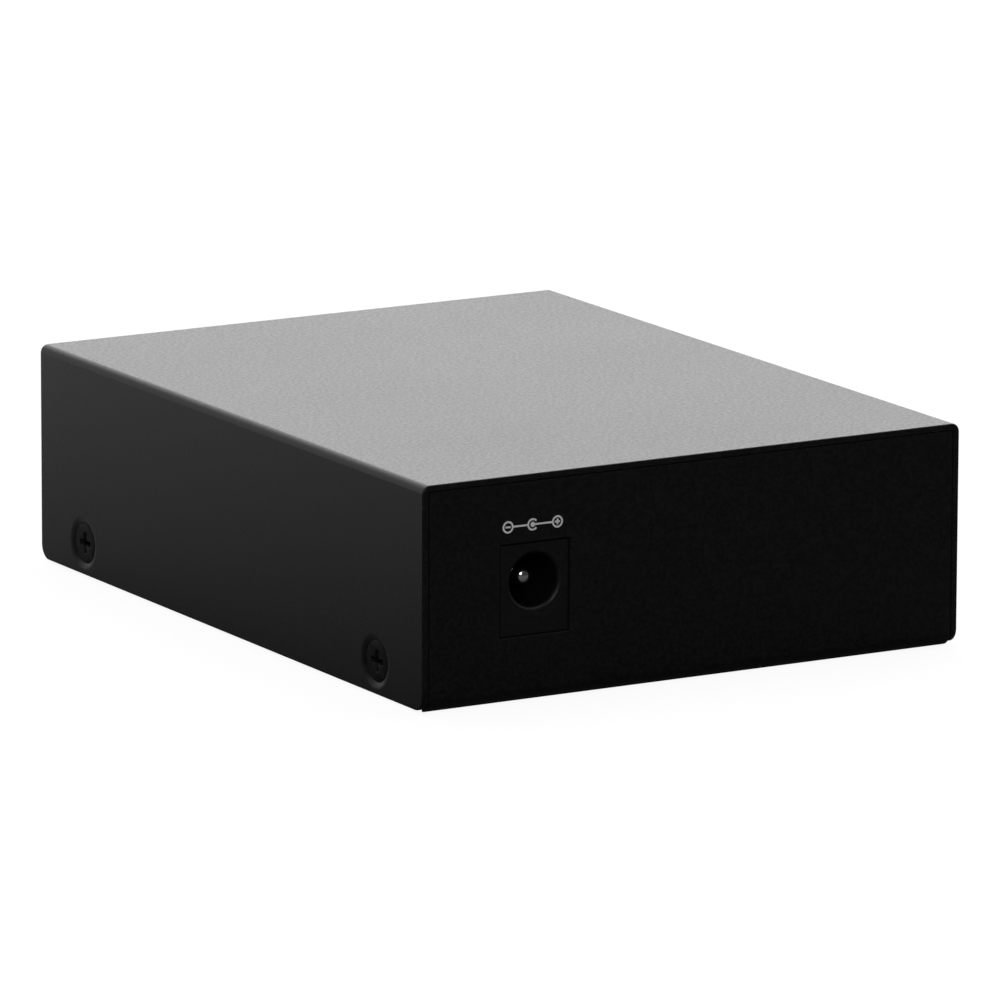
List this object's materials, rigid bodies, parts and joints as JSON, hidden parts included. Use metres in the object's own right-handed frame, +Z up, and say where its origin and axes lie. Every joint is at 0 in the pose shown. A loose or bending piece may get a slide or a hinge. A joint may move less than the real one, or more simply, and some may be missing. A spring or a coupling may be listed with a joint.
{
  "type": "fibre media converter",
  "caption": "Small black folded-steel box that links a copper network socket to a duplex fibre socket, with a barrel power socket at the back.",
  "frame": {"origin": "centre of the underside", "axes": "+Z up, network ports towards -Y, power socket towards +Y"},
  "size_m": [0.073, 0.0944, 0.027],
  "materials": {
    "case_paint": "fine-grained satin black powder coat",
    "black_screw": "black plated steel",
    "zinc_steel": "zinc plated",
    "tinned_steel": "bright tinned sheet",
    "tinned_lead": "tinned brass",
    "board_laminate": "green solder mask",
    "black_plastic": "moulded, satin",
    "pale_plastic": "moulded, satin",
    "brown_laminate": "phenolic board",
    "chip_resin": "moulded resin",
    "plated_contact": "nickel plated brass",
    "gold_contact": "gold plated",
    "sleeve_ceramic": "ground zirconia",
    "clear_plastic": "clear moulded acrylic",
    "led_resin": "cast resin",
    "ferrite": "sintered ferrite",
    "capacitor_sleeve": "shrunk sleeve",
    "passive_ceramic": "fired chip parts"
  },
  "bodies": {
    "case": {"top_cover": "case_paint", "base_tray": "case_paint", "cover_screws": "black_screw", "board_standoffs": "zinc_steel", "main_board": "board_laminate", "power_jack_housing": "black_plastic", "power_jack_pin": "plated_contact", "power_jack_spring": "plated_contact", "rj45_shell": "tinned_steel", "rj45_housing": "black_plastic", "rj45_contacts": "gold_contact", "fibre_housing": "black_plastic", "fibre_lid": "black_plastic", "fibre_latches": "pale_plastic", "fibre_barrels": "plated_contact", "fibre_sleeves": "sleeve_ceramic", "fibre_board": "board_laminate", "fibre_pins": "tinned_lead", "light_pipe": "clear_plastic", "status_leds": "led_resin", "switch_frame": "tinned_steel", "switch_base": "brown_laminate", "switch_terminals": "tinned_lead", "converter_chip": "chip_resin", "crystal_can": "tinned_steel", "ethernet_transformer": "chip_resin", "power_inductor": "ferrite", "electrolytic_capacitors": "capacitor_sleeve", "voltage_regulator": "chip_resin", "reverse_diode": "chip_resin", "chip_passives": "passive_ceramic"},
    "switch": {"switch_knob": "black_plastic", "switch_wiper": "gold_contact"}
  },
  "joints": [
    {"name": "mode_switch_slide", "type": "slide", "parent": "case", "child": "switch", "axis": [1, 0, 0], "range_m": [0, 0.002]}
  ]
}
